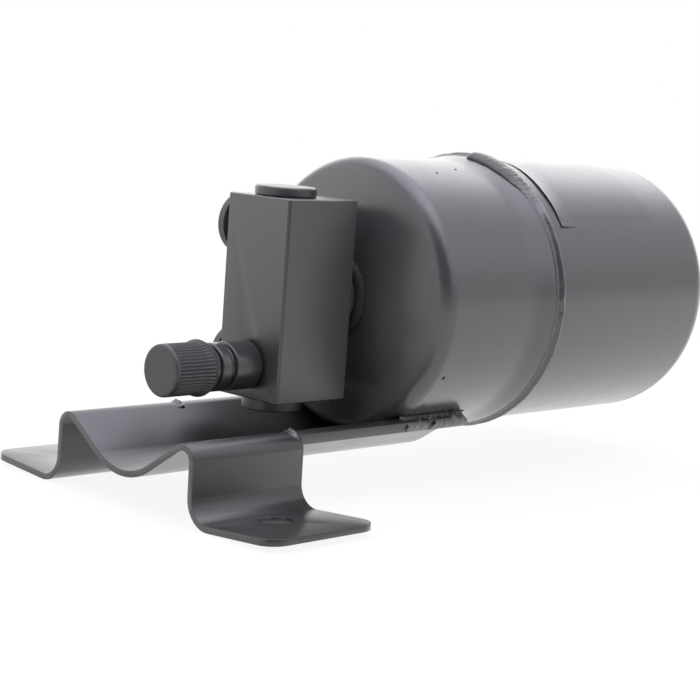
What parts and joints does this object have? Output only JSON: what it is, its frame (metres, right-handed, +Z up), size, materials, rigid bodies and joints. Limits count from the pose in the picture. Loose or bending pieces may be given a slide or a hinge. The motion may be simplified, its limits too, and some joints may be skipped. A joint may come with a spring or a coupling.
{
  "type": "receiver drier",
  "caption": "Black welded steel receiver drier canister on a folded foot bracket, with a bored connection block, capped service valve, port plugs and an inner drying pack.",
  "frame": {"origin": "midway between the two bolt holes of the bracket's feet, on the mounting plane that the feet's bends touch", "axes": "+X along the canister from the service cap to the closed rear end, +Z up from the feet, Y = 0 the plane of symmetry of canister and bracket, with the side ports towards +Y"},
  "size_m": [0.2323, 0.1308, 0.1077],
  "materials": {
    "canister_paint": "semi-gloss black paint over drawn steel",
    "bracket_paint": "satin black paint over folded steel sheet",
    "weld_paint": "rippled weld bead under black paint",
    "block_paint": "satin black paint over machined metal",
    "closer_paint": "satin black paint",
    "valve_paint": "semi-gloss black paint over turned metal",
    "transit_plastic": "matt black moulded plastic",
    "cap_plastic": "satin black moulded plastic with straight ribs",
    "core_brass": "turned brass",
    "seal_rubber": "matt black rubber",
    "spring_steel": "drawn spring wire",
    "tube_steel": "bare drawn tube",
    "plate_steel": "bare punched sheet",
    "filter_felt": "pressed felt",
    "desiccant_bag": "woven bag filled with drying beads"
  },
  "bodies": {
    "drier": {"front_cup": "canister_paint", "rear_cup": "canister_paint", "bracket": "bracket_paint", "seam_weld": "weld_paint", "neck_weld": "weld_paint", "left_bracket_weld": "weld_paint", "right_bracket_weld": "weld_paint", "connection_block": "block_paint", "top_plug": "closer_paint", "bottom_plug": "closer_paint", "service_valve_body": "valve_paint", "inlet_plug": "transit_plastic", "outlet_plug": "transit_plastic", "valve_core_body": "core_brass", "valve_body_seal": "seal_rubber", "valve_core_seal": "seal_rubber", "top_plug_seal": "seal_rubber", "bottom_plug_seal": "seal_rubber", "inlet_plug_seal": "seal_rubber", "outlet_plug_seal": "seal_rubber", "valve_spring": "spring_steel", "pack_spring": "spring_steel", "pickup_tube": "tube_steel", "pickup_strainer": "tube_steel", "front_plate": "plate_steel", "rear_plate": "plate_steel", "front_filter_pad": "filter_felt", "rear_filter_pad": "filter_felt", "desiccant_pack": "desiccant_bag"},
    "service_cap": {"service_cap": "cap_plastic", "cap_seal": "seal_rubber"},
    "valve_pin": {"valve_pin": "core_brass", "pin_seal": "seal_rubber"}
  },
  "joints": [
    {"name": "cap_off", "type": "slide", "parent": "drier", "child": "service_cap", "axis": [-1, 0, 0], "range_m": [0, 0.022]},
    {"name": "pin_press", "type": "slide", "parent": "drier", "child": "valve_pin", "axis": [1, 0, 0], "range_m": [0, 0.0012], "stiffness_N_per_m": 1500, "springref_m": -0.001, "deforming": ["valve_spring"]}
  ]
}
